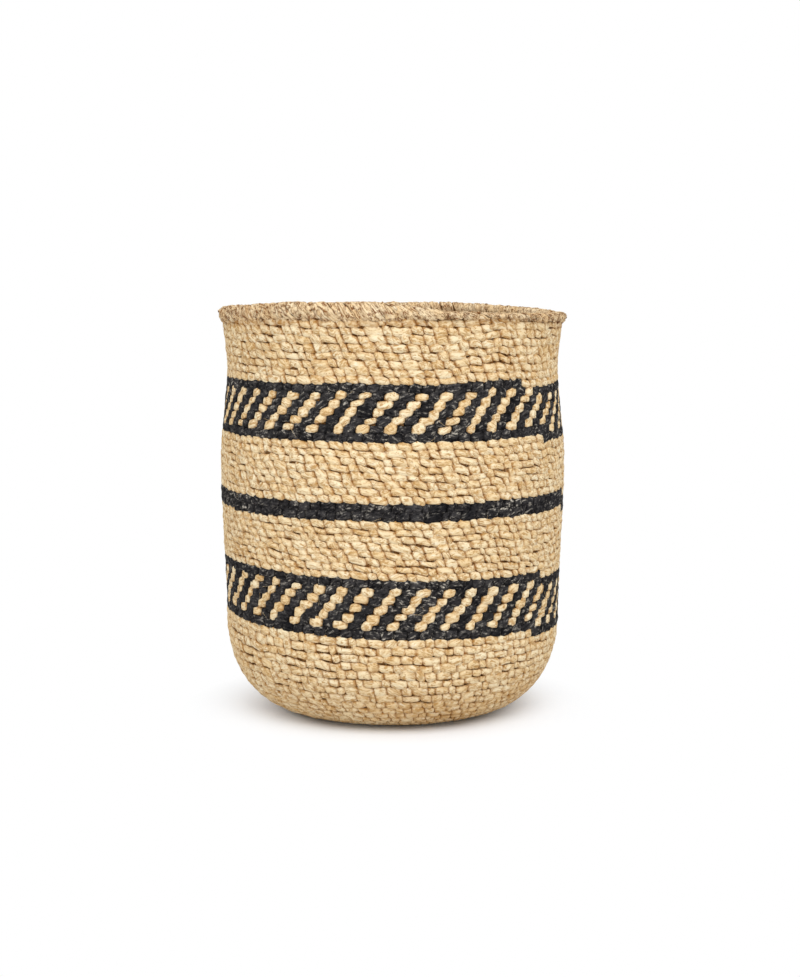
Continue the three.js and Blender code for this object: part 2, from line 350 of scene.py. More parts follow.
def make_piece(name, tubes, material, nodes):
    """One mesh object from tubes, riding on the basket and standing for its CAD nodes."""
    points = []
    corners = []
    lengths = []
    marks = {}
    first = 0
    for part in tubes:
        rings = part["rings"]
        points.append(rings.reshape(-1, 3))
        quads, ends = tube_faces(part, first)
        corners.append(quads.ravel())
        lengths.append(np.full(len(quads), 4))
        for end in ends:
            corners.append(np.array(end))
            lengths.append(np.array([len(end)]))
        for mark, value in part["marks"].items():
            spread = np.broadcast_to(value, rings.shape[:2]).ravel()
            marks.setdefault(mark, []).append(spread)
        first += rings.shape[0] * rings.shape[1]
    points = np.concatenate(points)
    corners = np.concatenate(corners)
    lengths = np.concatenate(lengths)
    mesh = bpy.data.meshes.new(name)
    mesh.vertices.add(len(points))
    mesh.vertices.foreach_set("co", points.astype(np.float32).ravel())
    mesh.loops.add(len(corners))
    mesh.loops.foreach_set("vertex_index", corners.astype(np.int32))
    mesh.polygons.add(len(lengths))
    starts = np.concatenate([[0], np.cumsum(lengths)[:-1]])
    mesh.polygons.foreach_set("loop_start", starts.astype(np.int32))
    mesh.update(calc_edges=True)
    for mark, values in marks.items():
        layer = mesh.attributes.new(mark, "FLOAT", "POINT")
        layer.data.foreach_set("value", np.concatenate(values).astype(np.float32))
    mesh.shade_smooth()
    mesh.materials.append(material)
    piece = bpy.data.objects.new(name, mesh)
    bpy.context.scene.collection.objects.link(piece)
    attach(piece, "root")
    if nodes:
        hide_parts(*nodes)
    return piece


def oval(points, squareness):
    """Points round a rounded rectangle of half size 1, counted from its first axis to its second."""
    turn = np.arange(points) / points * FULL_TURN
    power = 2 / squareness
    first = np.sign(np.cos(turn)) * np.abs(np.cos(turn)) ** power
    second = np.sign(np.sin(turn)) * np.abs(np.sin(turn)) ** power
    return first, second


# The weft

RING_PLACES = np.array([-0.5, -0.445, -0.33, 0.0, 0.33, 0.445])  # within one stitch
RING_GAP = 0.05  # least way from a strand's end to its next ring, in stitches
STITCH_TOTAL = int(LEVEL_STITCHES[-1]) + 4
STITCH_SHARE = 0.3  # share of a stitch in which its own values pass over to the next one's

# How much stitches differ, and strands within them
JOINT_SPREAD = 0.17  # sideways, in stitches
JOINT_LIMIT = 0.3
LEAST_JOINT_SHADE = 0.3  # how much painted shade the palest joint gets
WIDTH_SPREAD = 0.15
THICKNESS_SPREAD = 0.1
LEAN_SPREAD = 0.5
HEIGHT_SPREAD = 0.55 * MM
TWIST_SPREAD = 0.3
WIDTH_ROUGHNESS = 0.05
THICKNESS_ROUGHNESS = 0.09
BAND_EVENNESS = 0.45  # the joints in the bands shift by this share of what they do elsewhere
EDGE_EVENNESS = 0.3  # the stitches beside a change of colour differ by this share of the others
EDGE_NEARNESS = 1.1  # turns, as far as a stitch counts as beside it

END_SIZE = 0.5  # a strand's end, beside the rest of it
UNDER_BORDER = 3 * MM  # how far below the border's top the strands stay
LEAST_RADIUS = 4 * MM  # of a ring round the centre of the base, for its slant
FLOOR_GAP = 0.05 * MM
JOINT_CREASE_REACH = 0.35  # how much of a stitch the painted shade in the joints takes in
# Painted shade in the grooves between courses, along each strand's edges
EDGE_CREASE = 0.9
EDGE_CREASE_POWER = 8  # how narrow the painted shade along a strand's edges is
STRAND_APART = 3  # keeps the grain of the two strands apart, in metres along them

stitch_turns = turns_at(np.arange(STITCH_TOTAL))
in_lower_band = (stitch_turns > COURSES["lower band"]) & (stitch_turns < COURSES["lower wall"])
in_upper_band = (stitch_turns > COURSES["upper band"]) & (stitch_turns < COURSES["top wall"])
joint_shifts = np.clip(random.normal(0, JOINT_SPREAD, STITCH_TOTAL), -JOINT_LIMIT, JOINT_LIMIT)
joint_shifts *= np.where(in_lower_band | in_upper_band, BAND_EVENNESS, 1)
# Painted shade in each joint, where the strands pass under each other, stronger in some
joint_shades = random.uniform(LEAST_JOINT_SHADE, 1, STITCH_TOTAL)

# For each strand and stitch: width, thickness, lean, height, tone and twist
stitch_quirks = random.normal(0, 1, (2, 6, STITCH_TOTAL))
colour_changes = np.array(EDGE_TURNS[1:-1])
beside_change = np.abs(stitch_turns[:, None] - colour_changes).min(axis=1) < EDGE_NEARNESS
stitch_quirks[:, [0, 2, 3]] *= np.where(beside_change, EDGE_EVENNESS, 1)
strand_up, strand_out = oval(8, 3.6)


def eased(values, stitches):
    """A value that belongs to each stitch, passing over to the next stitch's at the joint."""
    low = np.floor(stitches).astype(int)
    share = (stitches - low - (1 - STITCH_SHARE) / 2) / STITCH_SHARE
    return blend(values[low], values[low + 1], share)


def strand_crease(stitches, outwards, angle, arc):
    """How much painted shade a strand's rings get at their points: in the joints, in the grooves along
    its edges and in the border's shadow.
    """
    crack = joint_shades[np.floor(stitches).astype(int)]
    at_joint = crack * blend(1, 0, np.abs(outwards) / JOINT_CREASE_REACH)
    below_edge = MOUTH_ARC + border_height(BORDER_BOTTOMS, angle) - MOUTH_HEIGHT - arc
    near_border = blend(BORDER_SHADE, 0, below_edge / SHADE_REACH)
    at_edge = EDGE_CREASE * np.abs(strand_up) ** EDGE_CREASE_POWER
    return np.clip((at_joint + near_border)[:, None] + at_edge, 0, 1)


def strand_tube(side, first, last, fill, narrowing, bulge, lean):
    """One strand between two stitch counts. The side is 1 for the first strand and -1 for the second."""
    whole = np.arange(math.floor(first), math.ceil(last) + 1)
    inner = (whole[:, None] + RING_PLACES).ravel()
    inner = inner[(inner > first + RING_GAP) & (inner < last - RING_GAP)]
    stitches = np.concatenate([[first], inner, [last]])
    wide, thick, leaning_more, higher, tone, twist = (
        np.clip(eased(quirk, stitches), -2, 2) for quirk in stitch_quirks[0 if side > 0 else 1]
    )

    # The strand's middle
    joint = np.interp(stitches, np.arange(STITCH_TOTAL) + 0.5, joint_shifts)
    turns = turns_at(stitches + joint)
    outwards = side * np.cos(math.pi * stitches)
    swing = np.tanh(JOINT_STEEPNESS * outwards) / math.tanh(JOINT_STEEPNESS)
    sway = -side * np.sin(math.pi * stitches)
    even_angle = STEP_ANGLE + FULL_TURN * turns
    even_arc = spiral_arc(turns)
    angle = even_angle + sideways_shift(even_angle, even_arc)
    arc = even_arc + course_shift(even_angle, even_arc)
    arc = arc + STRAND_LEAN * sway * (lean + LEAN_SPREAD * leaning_more)
    arc = arc + HEIGHT_SPREAD * higher * np.abs(outwards)
    depth = WALL_MIDDLE - STRAND_SWING * swing

    # Its width and thickness
    height = course_height(turns, even_angle)
    near_joint = np.exp(-((outwards / JOINT_REACH) ** 2))
    half_width = fill * height * (1 - narrowing * near_joint) * (1 + WIDTH_SPREAD * wide)
    half_thickness = STRAND_HALF_THICKNESS * (1 + bulge * near_joint) * (1 + THICKNESS_SPREAD * thick)
    ends = np.ones_like(stitches)
    ends[[0, -1]] = END_SIZE
    rough = random.normal(0, 1, (2, len(stitches), len(strand_up)))
    up = strand_up * (half_width * ends)[:, None] * (1 + WIDTH_ROUGHNESS * rough[0])
    out = strand_out * (half_thickness * ends)[:, None] * (1 + THICKNESS_ROUGHNESS * rough[1])

    radius = np.maximum(np.interp(arc, ARCS, RADII), LEAST_RADIUS)
    slant = -JOINT_SLANT * lean * up / radius[:, None]
    highest = MOUTH_ARC + border_height(BORDER_TOPS, angle) - UNDER_BORDER - MOUTH_HEIGHT
    ring_arc = np.minimum(arc[:, None] + up, highest[:, None])
    rings = on_wall(ring_arc, angle[:, None] + slant, depth[:, None] - out)
    rings[..., 2] = np.maximum(rings[..., 2], FLOOR_GAP)

    stitch_width = FULL_TURN * radius / np.gradient(stitches_at(turns), turns)
    along = np.concatenate([[0], np.cumsum(np.diff(stitches) * stitch_width[1:])])
    from_middle = (stitches - np.round(stitches)) * stitch_width
    return tube(
        rings,
        along=along[:, None] + STRAND_APART * side,
        across=up + out + (TWIST_SPREAD * twist * from_middle)[:, None],
        tone=tone[:, None],
        crease=strand_crease(stitches, outwards, angle, arc),
    )


def step_turn(course, degrees):
    """The turn at which a course changes colour, for a step at an angle from the front."""
    return course + (math.radians(degrees) - STEP_ANGLE) / FULL_TURN


def tucked_in(turns, side):
    """The nearest stitch count at which a strand lies hidden on the inside."""
    hidden = 1 if side > 0 else 0
    return 2 * round((float(stitches_at(turns)) - hidden) / 2) + hidden


WEFT_START = 0.45
WEFT_END = 71.2
HEEL_START = step_turn(12, 60)
HEEL_SPLIT = step_turn(22.6, 60)
LOWER_BAND = step_turn(31, 58)
LOWER_PATTERN = step_turn(32, 58)
LOWER_PATTERN_END = step_turn(37, 58)
LOWER_WALL = step_turn(38, 58)
STRIPE = step_turn(46, 75)
MIDDLE_WALL = step_turn(48, 75)
UPPER_BAND = step_turn(56, 57)
UPPER_PATTERN = step_turn(57, 57)
UPPER_PATTERN_END = step_turn(62, 57)
TOP_WALL = step_turn(63, 45)

PLAIN_WEFT = (
    ("base_weft", WEFT_START, HEEL_START, "natural"),
    ("heel_weft_first_length", HEEL_START, HEEL_SPLIT, "natural"),
    ("heel_weft_second_length", HEEL_SPLIT, LOWER_BAND, "natural"),
    ("lower_wall_weft", LOWER_WALL, STRIPE, "natural"),
    ("stripe_weft", STRIPE, MIDDLE_WALL, "black"),
    ("middle_wall_weft", MIDDLE_WALL, UPPER_BAND, "natural"),
    ("top_wall_weft", TOP_WALL, WEFT_END, "natural"),
)
BAND_STRANDS = (
    ("lower_band_black_strand", -1, LOWER_BAND, LOWER_WALL, "black"),
    ("lower_band_first_course_strand", 1, LOWER_BAND, LOWER_PATTERN, "black"),
    ("lower_band_natural_strand", 1, LOWER_PATTERN, LOWER_PATTERN_END, "natural"),
    ("lower_band_last_course_strand", 1, LOWER_PATTERN_END, LOWER_WALL, "black"),
    ("upper_band_black_strand", -1, UPPER_BAND, TOP_WALL, "black"),
    ("upper_band_first_course_strand", 1, UPPER_BAND, UPPER_PATTERN, "black"),
    ("upper_band_natural_strand", 1, UPPER_PATTERN, UPPER_PATTERN_END, "natural"),
    ("upper_band_last_course_strand", 1, UPPER_PATTERN_END, TOP_WALL, "black"),
)


STRAND_END_GAP = 0.03  # of a stitch, from a strand's end to the place where it is tucked in


def lay_weft(finishes):
    for name, start, end, colour in PLAIN_WEFT:
        for side, face in ((1, "outside"), (-1, "inside")):
            lay_strand(f"{name}_{face}", side, start, end, colour, finishes, False)
    for name, side, start, end, colour in BAND_STRANDS:
        lay_strand(name, side, start, end, colour, finishes, True)


def lay_strand(node, side, start, end, colour, finishes, in_band):
    first = tucked_in(start, side) + STRAND_END_GAP
    last = tucked_in(end, side) - STRAND_END_GAP
    makes_dots = in_band and colour == "natural"
    fill, narrowing, bulge, lean = NATURAL_FILL, JOINT_NARROWING, JOINT_BULGE, 1
    if end <= LOWER_BAND:
        fill, lean = HEEL_FILL, HEEL_LEAN
    if colour == "black":
        fill, narrowing, lean = BLACK_FILL, BLACK_NARROWING, BLACK_LEAN
    if makes_dots:
        fill, narrowing, bulge, lean = DOT_FILL, DOT_NARROWING, DOT_BULGE, BLACK_LEAN
    strand = strand_tube(side, first, last, fill, narrowing, bulge, lean)
    fibres = []
    if start > HEEL_START:
        per_turn = DOT_FIBRES if makes_dots else WALL_FIBRES
        for _ in range(int(per_turn * (end - start))):
            fibres.append(loose_fibre(random.uniform(start, end)))
    make_piece(f"{node}_strand", [strand, *fibres], finishes[colour], [node])


# Loose fibre ends that stand off the strands

WALL_FIBRES = 2.4  # for each turn of a strand
DOT_FIBRES = 5
FIBRE_RADIUS = 0.13 * MM
FIBRE_TAPER = 0.6  # how much thinner its tip is
FIBRE_LENGTHS = (4, 13)  # mm
FIBRE_LIFTS = (0.4, 1.4)  # mm, how far its tip stands off
FIBRE_SINK = 0.3 * MM  # how deep it starts in the strand
FIBRE_SPREAD = 2 * MM  # up and down from the middle of its course
FIBRE_TURN = 0.9  # how far it heads off the course's way
FIBRE_CURL = 1.6  # mm
FIBRE_RINGS = 6
fibre_side, fibre_out = oval(3, 2.0)


def loose_fibre(turns):
    angle = STEP_ANGLE + FULL_TURN * turns
    arc = spiral_arc(turns) + FIBRE_SPREAD * random.normal()
    length = random.uniform(*FIBRE_LENGTHS) * MM
    heading = random.normal(0, FIBRE_TURN)
    share = np.linspace(0, 1, FIBRE_RINGS)
    curl = random.normal(0, FIBRE_CURL) * MM * share**2
    forward = length * share * math.cos(heading) - curl * math.sin(heading)
    upward = length * share * math.sin(heading) + curl * math.cos(heading)
    surface = WALL_MIDDLE - STRAND_SWING - STRAND_HALF_THICKNESS
    depth = surface + FIBRE_SINK - random.uniform(*FIBRE_LIFTS) * MM * share**1.5
    thickness = FIBRE_RADIUS * (1 - FIBRE_TAPER * share)
    side = fibre_side * thickness[:, None]
    out = fibre_out * thickness[:, None]
    shift = course_shift(np.full(FIBRE_RINGS, angle), np.full(FIBRE_RINGS, arc))
    shifted_arc = arc + upward[:, None] + side * math.cos(heading) + shift[:, None]
    shifted_angle = angle + (forward[:, None] - side * math.sin(heading)) / BELLY_RADIUS
    rings = on_wall(shifted_arc, shifted_angle, depth[:, None] - out)
    return tube(rings, along=length * share[:, None], across=side, tone=random.normal(), crease=0.0)


# The stakes

STAKES = 167
STAKE_FANS = 12
STAKES_IN_STITCH = 2
FIRST_STAKE = 0.25  # where in a stitch its first stake stands
STAKE_HALF_WIDTH = 2.55 * MM
STAKE_LEAST_HALF_WIDTH = 0.5 * MM
STAKE_HALF_THICKNESS = 0.55 * MM
STAKE_ROOM = 0.46  # its half width as a share of its room, where it has less than its width
STAKE_TIP = 0.4  # its inner end, beside the rest of it
STAKE_STARTS = (-1, 14, 9, 14, 5, 14, 9, 2, 14, 9, 14, 5, 14, 9)  # turns at which each in a fan joins in
STAKE_HEEL = 15  # turns, where its rings begin to lie closer
STAKE_END = 70.6
STAKE_REACH = (0.7 * KNOT_RADIUS, MOUTH_ARC + 4 * MM)  # along the profile
# Painted shade over the stakes, which lie deep in the wall
STAKE_CREASE = 0.9
stake_in, stake_side = oval(6, 2.4)


def stake_tube(number, angle):
    start = STAKE_STARTS[number % len(STAKE_STARTS)]
    turns = np.concatenate([
        np.arange(start, STAKE_HEEL, 2.0),
        np.arange(STAKE_HEEL, EDGE_TURNS[-1], 1.5),
        [STAKE_END],
    ])
    arc = spiral_arc(np.floor(turns) + (angle - STEP_ANGLE) % FULL_TURN / FULL_TURN)
    arc = np.clip(arc, *STAKE_REACH)
    radius = np.interp(arc, ARCS, RADII)
    room = FULL_TURN * radius / STAKES
    half_width = np.clip(room * STAKE_ROOM, STAKE_LEAST_HALF_WIDTH, STAKE_HALF_WIDTH)
    half_width[0] *= STAKE_TIP
    angles = np.full_like(turns, angle)
    angles = angles + sideways_shift(angles, arc)
    radius = radius[:, None]
    side = stake_side * half_width[:, None] / radius
    out = stake_in * STAKE_HALF_THICKNESS
    rings = on_wall(np.broadcast_to(arc[:, None], side.shape), angles[:, None] + side, WALL_MIDDLE - out)
    along = np.broadcast_to(arc[:, None] + number, side.shape)
    return tube(rings, along=along, across=side * radius, tone=random.normal(), crease=STAKE_CREASE)


def lay_stakes(finishes):
    fans = [[] for _ in range(STAKE_FANS)]
    whole_turn = STITCH_LEVELS[-1][0]
    first_stake = FIRST_STAKE - float(stitches_at(whole_turn)) % 1
    for number in range(STAKES):
        turn = (first_stake + number / STAKES_IN_STITCH) / STITCHES_ROUND % 1
        fans[int(turn * STAKE_FANS)].append(stake_tube(number, STEP_ANGLE + turn * FULL_TURN))
    for index, stakes in enumerate(fans):
        node = f"stake_fan_{index + 1:02d}"
        make_piece(f"{node}_stakes", stakes, finishes["stake"], [node])


# The knot under the centre: crossed bundles of stakes, held by a few turns of cord on either face

KNOT_BUNDLES = 6
BUNDLE_HALF_WIDTH = 2.4 * MM
BUNDLE_HALF_THICKNESS = 0.8 * MM
BUNDLE_RISE = 0.42 * MM  # from one to the next in the middle, where they cross
BUNDLE_REACH = 0.97 * KNOT_RADIUS
BUNDLE_RINGS = 9
# Painted shade over the knot's bundles
BUNDLE_CREASE = 0.3
KNOT_CORD = 1.55 * MM
KNOT_CORD_WIDENING = 1.1  # the cord is pressed a little flat
KNOT_CORD_START = 0.15  # turns
KNOT_CORD_TURNS = 3.1
KNOT_CORD_INNER = 1.2 * MM  # radius in the middle of its spiral
KNOT_CORD_OUTER = KNOT_RADIUS - 1.4 * MM
KNOT_CORD_TIP = 0.9  # its thickness at the outer end, beside the inner one
KNOT_CORD_RINGS = 100
# Painted shade over the knot's cords
KNOT_CORD_CREASE = 0.2
KNOT_CORD_GAP = 0.15 * MM  # from the knot's two faces
round_first, round_second = oval(8, 2.0)


def crossing_bundle(index):
    direction = STEP_ANGLE + math.pi * index / KNOT_BUNDLES
    reach = np.linspace(-1, 1, BUNDLE_RINGS)
    level = WALL_MIDDLE + (index - (KNOT_BUNDLES - 1) / 2) * BUNDLE_RISE * (1 - reach**2)
    x = BUNDLE_REACH * reach
    width = round_first * BUNDLE_HALF_WIDTH
    thickness = round_second * BUNDLE_HALF_THICKNESS
    along_x = math.sin(direction)
    along_y = -math.cos(direction)
    rings = np.stack(
        [
            x[:, None] * along_x - width * along_y,
            x[:, None] * along_y + width * along_x,
            level[:, None] + np.broadcast_to(thickness, (len(reach), len(thickness))),
        ],
        axis=-1,
    )
    along = x[:, None] + index
    return tube(rings, along=along, across=width, tone=random.normal(), crease=BUNDLE_CREASE)


def knot_cord(height):
    """A spiral of cord on one face of the knot, a little thinner towards its outer end."""
    turn = np.linspace(KNOT_CORD_START, KNOT_CORD_TURNS, KNOT_CORD_RINGS)
    radius = KNOT_CORD_INNER + (KNOT_CORD_OUTER - KNOT_CORD_INNER) * turn / KNOT_CORD_TURNS
    out = round_first * KNOT_CORD * KNOT_CORD_WIDENING
    up = round_second * KNOT_CORD
    reach = radius[:, None] + out
    angle = turn[:, None] * FULL_TURN
    level = height + up * np.linspace(1, KNOT_CORD_TIP, KNOT_CORD_RINGS)[:, None]
    rings = np.stack([reach * np.sin(angle), -reach * np.cos(angle), level], axis=-1)[::-1]
    along = (turn * radius * FULL_TURN)[::-1, None]
    return tube(rings, along=along, across=up, tone=0.0, crease=KNOT_CORD_CREASE)


def tie_knot(finishes):
    bundles = [crossing_bundle(index) for index in range(KNOT_BUNDLES)]
    from_face = KNOT_CORD + KNOT_CORD_GAP
    cords = [knot_cord(from_face), knot_cord(2 * WALL_MIDDLE - from_face)]
    make_piece("start_knot_bundles", bundles + cords, finishes["stake"], ["start_knot"])


# The border: strands wound slantwise over the stake ends, all round the mouth

WRAP_PARTS = 3
WRAP_PATH = (-0.42, 1.4)  # its two ends, in half turns from the border's outer side over its top
WRAP_RINGS = 22
WRAP_WIDENING = 1.22  # its width, beside the way from one to the next
WRAP_SPACING = 0.94  # the parts of a wrap lie this much closer than even
WRAP_UNEVENNESS = 0.03  # of the way from a wrap to the next
OUTSIDE_END = 0.35  # half turns, where a wrap begins to run inwards
OUTSIDE_FADE = 0.4
INSIDE_SLOPE = 0.3
INSIDE_WIDENING = 0.5
INSIDE_CREASE = 0.3  # painted seam shade on the border's inside, as a share of the outside's
SHARED_QUIRKS = 0.6  # how much the parts of a wrap differ together, and each by itself
OWN_QUIRKS = 0.7
HEADING_SPREAD = 0.07
WRAP_THICKNESS_SPREAD = 0.12
WRAP_THICKNESS_ROUGHNESS = 0.1
WRAP_WIDTH_SPREAD = 0.13
WRAP_WIDTH_ROUGHNESS = 0.08
WRAP_LIFT_SPREAD = 0.2 * MM
WRAP_LIFT_ROUGHNESS = 0.1 * MM
FACE_DENTS = 0.15 * MM
EDGE_DENTS = 0.2 * MM
KINK_RINGS = 3  # rings from one kink to the next
KINK_SIZES = np.array([[0.25 * MM], [0.5 * MM]])  # outwards and sideways
LEAST_SEAM = 0.8  # how much painted shade the seam between two wraps gets at least
CRACK_POWER = 1.1  # above 1, more cracks are faint than dark
# Painted shade in the seams between wraps
CRACK_DEPTH = 0.85
CRACK_ROUGHNESS = 0.4
WRAP_TAPER = 0.55  # its ends, beside the rest of it
TAPER_RINGS = 2
# Painted shade at a wrap's tucked-in ends
END_CREASE = 0.8
END_CREASE_RINGS = 2.5
CREASE_POWER = 2.4  # how narrow the painted shade along a wrap's edges is
UNDERCUT = 0.4  # the border's side draws in by this share towards its lower edge
EDGE_DROP = 0.6 * MM  # how far the wraps reach below that edge
EDGE_DROP_SPREAD = 0.8 * MM
SIDE_SQUARENESS = 0.75  # powers of its section, where 1 would make an ellipse
TOP_SQUARENESS = 0.85
HALF_TURN_LENGTH = 22 * MM
FRAYED_STRIPS = 480
STRIP_STARTS = (-0.38, 0.36)  # half turns
STRIP_LENGTHS = (0.12, 0.3)
STRIP_WIDTHS = (1.6, 4)  # mm
STRIP_HEADINGS = (-0.3, 1.3)
STRIP_LIFTS = (0.1, 0.7)  # mm
# Painted shade along the frayed strips' edges
STRIP_CRACKS = (0.4, 1)
STRIP_RINGS = 7
wrap_out, wrap_side = oval(10, 2.6)
CORE_STRANDS = 7
CORE_SPREAD = 2.2 * MM
CORE_RISE = 0.5  # how far it spreads upwards, as a share of its room
CORE_THICKNESSES = (0.9 * MM, 2 * MM)  # least and most half thickness of a strand
CORE_RINGS = 120
# Painted shade over the core, which lies under the wraps
CORE_CREASE = 0.9


def on_border(path, angle, out, low):
    """Points round the border. The path counts half turns from its outer side over its top."""
    top = border_height(BORDER_TOPS, angle) - BORDER_STRAND_THICKNESS * 0.5
    bottom = border_height(BORDER_BOTTOMS, angle) + EDGE_DROP_SPREAD * low - EDGE_DROP
    half_height = (top - bottom) / 2
    half_width = BORDER_HALF_WIDTH - BORDER_STRAND_THICKNESS * 0.5
    across, upward = np.cos(path * math.pi), np.sin(path * math.pi)
    reach = half_width * np.sign(across) * np.abs(across) ** SIDE_SQUARENESS
    reach = reach * (1 - UNDERCUT * np.clip(-upward, 0, 1))
    rise = half_height * np.sign(upward) * np.abs(upward) ** TOP_SQUARENESS
    facing = np.hypot(across / half_width, upward / half_height)
    radius = MOUTH_RADIUS - WALL_MIDDLE + reach + out * across / half_width / facing
    level = (top + bottom) / 2 + rise + out * upward / half_height / facing
    return np.stack([radius * np.sin(angle), -radius * np.cos(angle), level], axis=-1)


def wrap_tube(angle, path, flat_width, heading, wander, quirks, cracks):
    """A strand over the border, or a piece of one, which heads this many radians off the upright."""
    wide, thick, low, lean, tone = quirks
    outside = blend(1, 0, (path - OUTSIDE_END) / OUTSIDE_FADE)
    walked = (path - path[0]) * HALF_TURN_LENGTH
    slope = INSIDE_SLOPE + (math.tan(heading) - INSIDE_SLOPE + HEADING_SPREAD * lean) * outside
    leaned = np.concatenate([[0], np.cumsum(np.diff(walked) * slope[1:])])
    steps = len(path)
    from_end = np.minimum(np.arange(steps), np.arange(steps)[::-1])
    taper = np.interp(from_end, [0, TAPER_RINGS], [WRAP_TAPER, 1])
    rough = random.normal(0, 1, (3, steps))
    dents = random.normal(0, 1, (steps, len(wrap_out)))
    widening = 1 + INSIDE_WIDENING - INSIDE_WIDENING * outside
    thicker = 1 + WRAP_THICKNESS_SPREAD * thick + WRAP_THICKNESS_ROUGHNESS * rough[0]
    wider = 1 + WRAP_WIDTH_SPREAD * wide + WRAP_WIDTH_ROUGHNESS * rough[1]
    thickness = 0.5 * BORDER_STRAND_THICKNESS * thicker * taper
    width = 0.5 * flat_width * wider * taper * widening
    raised = wander[0] + WRAP_LIFT_SPREAD * thick + WRAP_LIFT_ROUGHNESS * rough[2]
    out = wrap_out * thickness[:, None] + raised[:, None] + FACE_DENTS * dents
    flat = wrap_side * width[:, None] + EDGE_DENTS * dents[:, :1]
    turned_path = path[:, None] + flat * math.sin(heading) / HALF_TURN_LENGTH
    sideways = flat * math.cos(heading) + (wander[1] - leaned)[:, None]
    rings = on_border(turned_path, angle + sideways / MOUTH_RADIUS, out, low)
    depth = np.clip(CRACK_DEPTH + CRACK_ROUGHNESS * rough[0], 0, 1)
    depth = depth * (INSIDE_CREASE + (1 - INSIDE_CREASE) * outside)
    # Painted shade along the seams at the wrap's edges and at its ends
    crack = np.where(wrap_side < 0, *cracks) * depth[:, None]
    end_shade = blend(END_CREASE, 0, from_end / END_CREASE_RINGS)[:, None]
    crease = crack * np.abs(wrap_side) ** CREASE_POWER + end_shade
    return tube(
        rings,
        along=walked[:, None] / math.cos(heading) + angle,
        across=wrap_side * width[:, None] + out,
        tone=tone,
        crease=np.clip(crease, 0, 1),
    )


def core_strand(index):
    """One strand of the bundle of stake ends that the border is wound over."""
    angle = np.arange(CORE_RINGS) / CORE_RINGS * FULL_TURN
    spot = FULL_TURN * index / (CORE_STRANDS - 1)
    offset = 0 if index == CORE_STRANDS - 1 else 1  # the last one runs in the middle of the others
    top, bottom = border_height(BORDER_TOPS, angle), border_height(BORDER_BOTTOMS, angle)
    half_height = (top - bottom) / 2 - BORDER_STRAND_THICKNESS
    reach = offset * CORE_SPREAD * math.cos(spot)
    rise = offset * math.sin(spot) * np.maximum(half_height, 0) * CORE_RISE
    centre = MOUTH_RADIUS - WALL_MIDDLE + reach
    thickness = np.clip(half_height, *CORE_THICKNESSES)[:, None]
    out = round_second * thickness
    up = round_first * thickness
    radius = centre + out
    level = ((top + bottom) / 2 + rise)[:, None] + up
    round_x, round_y = np.sin(angle)[:, None], -np.cos(angle)[:, None]
    rings = np.stack([radius * round_x, radius * round_y, level], axis=-1)
    along = (angle * centre)[:, None] + index
    tone = random.normal()
    return tube(rings, closed=True, along=along, across=up, tone=tone, crease=CORE_CREASE)


def frayed_strip():
    """A short end of strand that crosses the wraps on the outside or the top."""
    start = random.uniform(*STRIP_STARTS)
    heading = random.uniform(*STRIP_HEADINGS)
    path = np.linspace(start, start + random.uniform(*STRIP_LENGTHS) * math.cos(heading), STRIP_RINGS)
    wander = np.array([random.uniform(*STRIP_LIFTS) * MM, 0])
    width = random.uniform(*STRIP_WIDTHS) * MM
    cracks = random.uniform(*STRIP_CRACKS, 2)
    quirks = np.clip(random.normal(0, 1, 5), -2, 2)
    return wrap_tube(random.uniform(0, FULL_TURN), path, width, heading, wander, quirks, cracks)


def wind_border(finishes):
    spacing = FULL_TURN * MOUTH_RADIUS / (BORDER_WRAPS * WRAP_PARTS)
    width = WRAP_WIDENING * spacing
    path = np.linspace(*WRAP_PATH, WRAP_RINGS)
    wraps = [frayed_strip() for _ in range(FRAYED_STRIPS)]
    for wrap in range(BORDER_WRAPS):
        shared = random.normal(0, 1, 5)
        start = FULL_TURN * (wrap + WRAP_UNEVENNESS * random.normal()) / BORDER_WRAPS
        kinks = random.normal(0, 1, (2, len(path) // KINK_RINGS + 1)) * KINK_SIZES
        places = np.arange(len(path)) / KINK_RINGS
        wander = np.array([np.interp(places, np.arange(len(kink)), kink) for kink in kinks])
        for part in range(WRAP_PARTS):
            own = random.normal(0, 1, 5)
            quirks = np.clip(SHARED_QUIRKS * shared + OWN_QUIRKS * own, -2, 2)
            angle = start + part * WRAP_SPACING * spacing / MOUTH_RADIUS
            cracks = [random.random() ** CRACK_POWER for _ in range(2)]
            if part == 0:
                cracks[0] = random.uniform(LEAST_SEAM, 1)
            wraps.append(wrap_tube(angle, path, width, BORDER_HEADING, wander, quirks, cracks))
    make_piece("border_wrap_strands", wraps, finishes["border"], ["border_wrap"])
    core = [core_strand(index) for index in range(CORE_STRANDS)]
    make_piece("border_core_bundle", core, finishes["stake"], ["border_core"])


# Materials

# Which values of a noise or a mark make an effect, from none of it to all of it
PALER_TONES = (-1.6, 1.6)
DARK_FIBRES = (0.52, 0.34)
# Glints are pale fibres, partly painted highlights
GLINTING_FIBRES = (0.55, 0.68)
PATCHES = (0.32, 0.68)
CRUMPLED = (0.44, 0.54)
FOLDS = (0.065, 0.02)  # from the noise's middle, 0.5
UNBROKEN_CREASE_SHADE = (0.35, 0.6)
BROKEN_CREASE_SHADE = 0.35  # what is left of the painted crease shade where the crumple noise breaks it up
GLINT_SHARES = (0.1, 1.3)  # outside the patches and in their middle
# The strands get darker in patches towards the bottom, fully at the floor and not above this height
LOW_DARKENING_HEIGHT = 50 * MM

# How much of each tint is laid on
PATCH_SHARE = 0.55
DARK_SHARE = 0.8
LOW_DARKENING_SHARE = 0.5
CREASE_SHADE_SHARE = 0.9

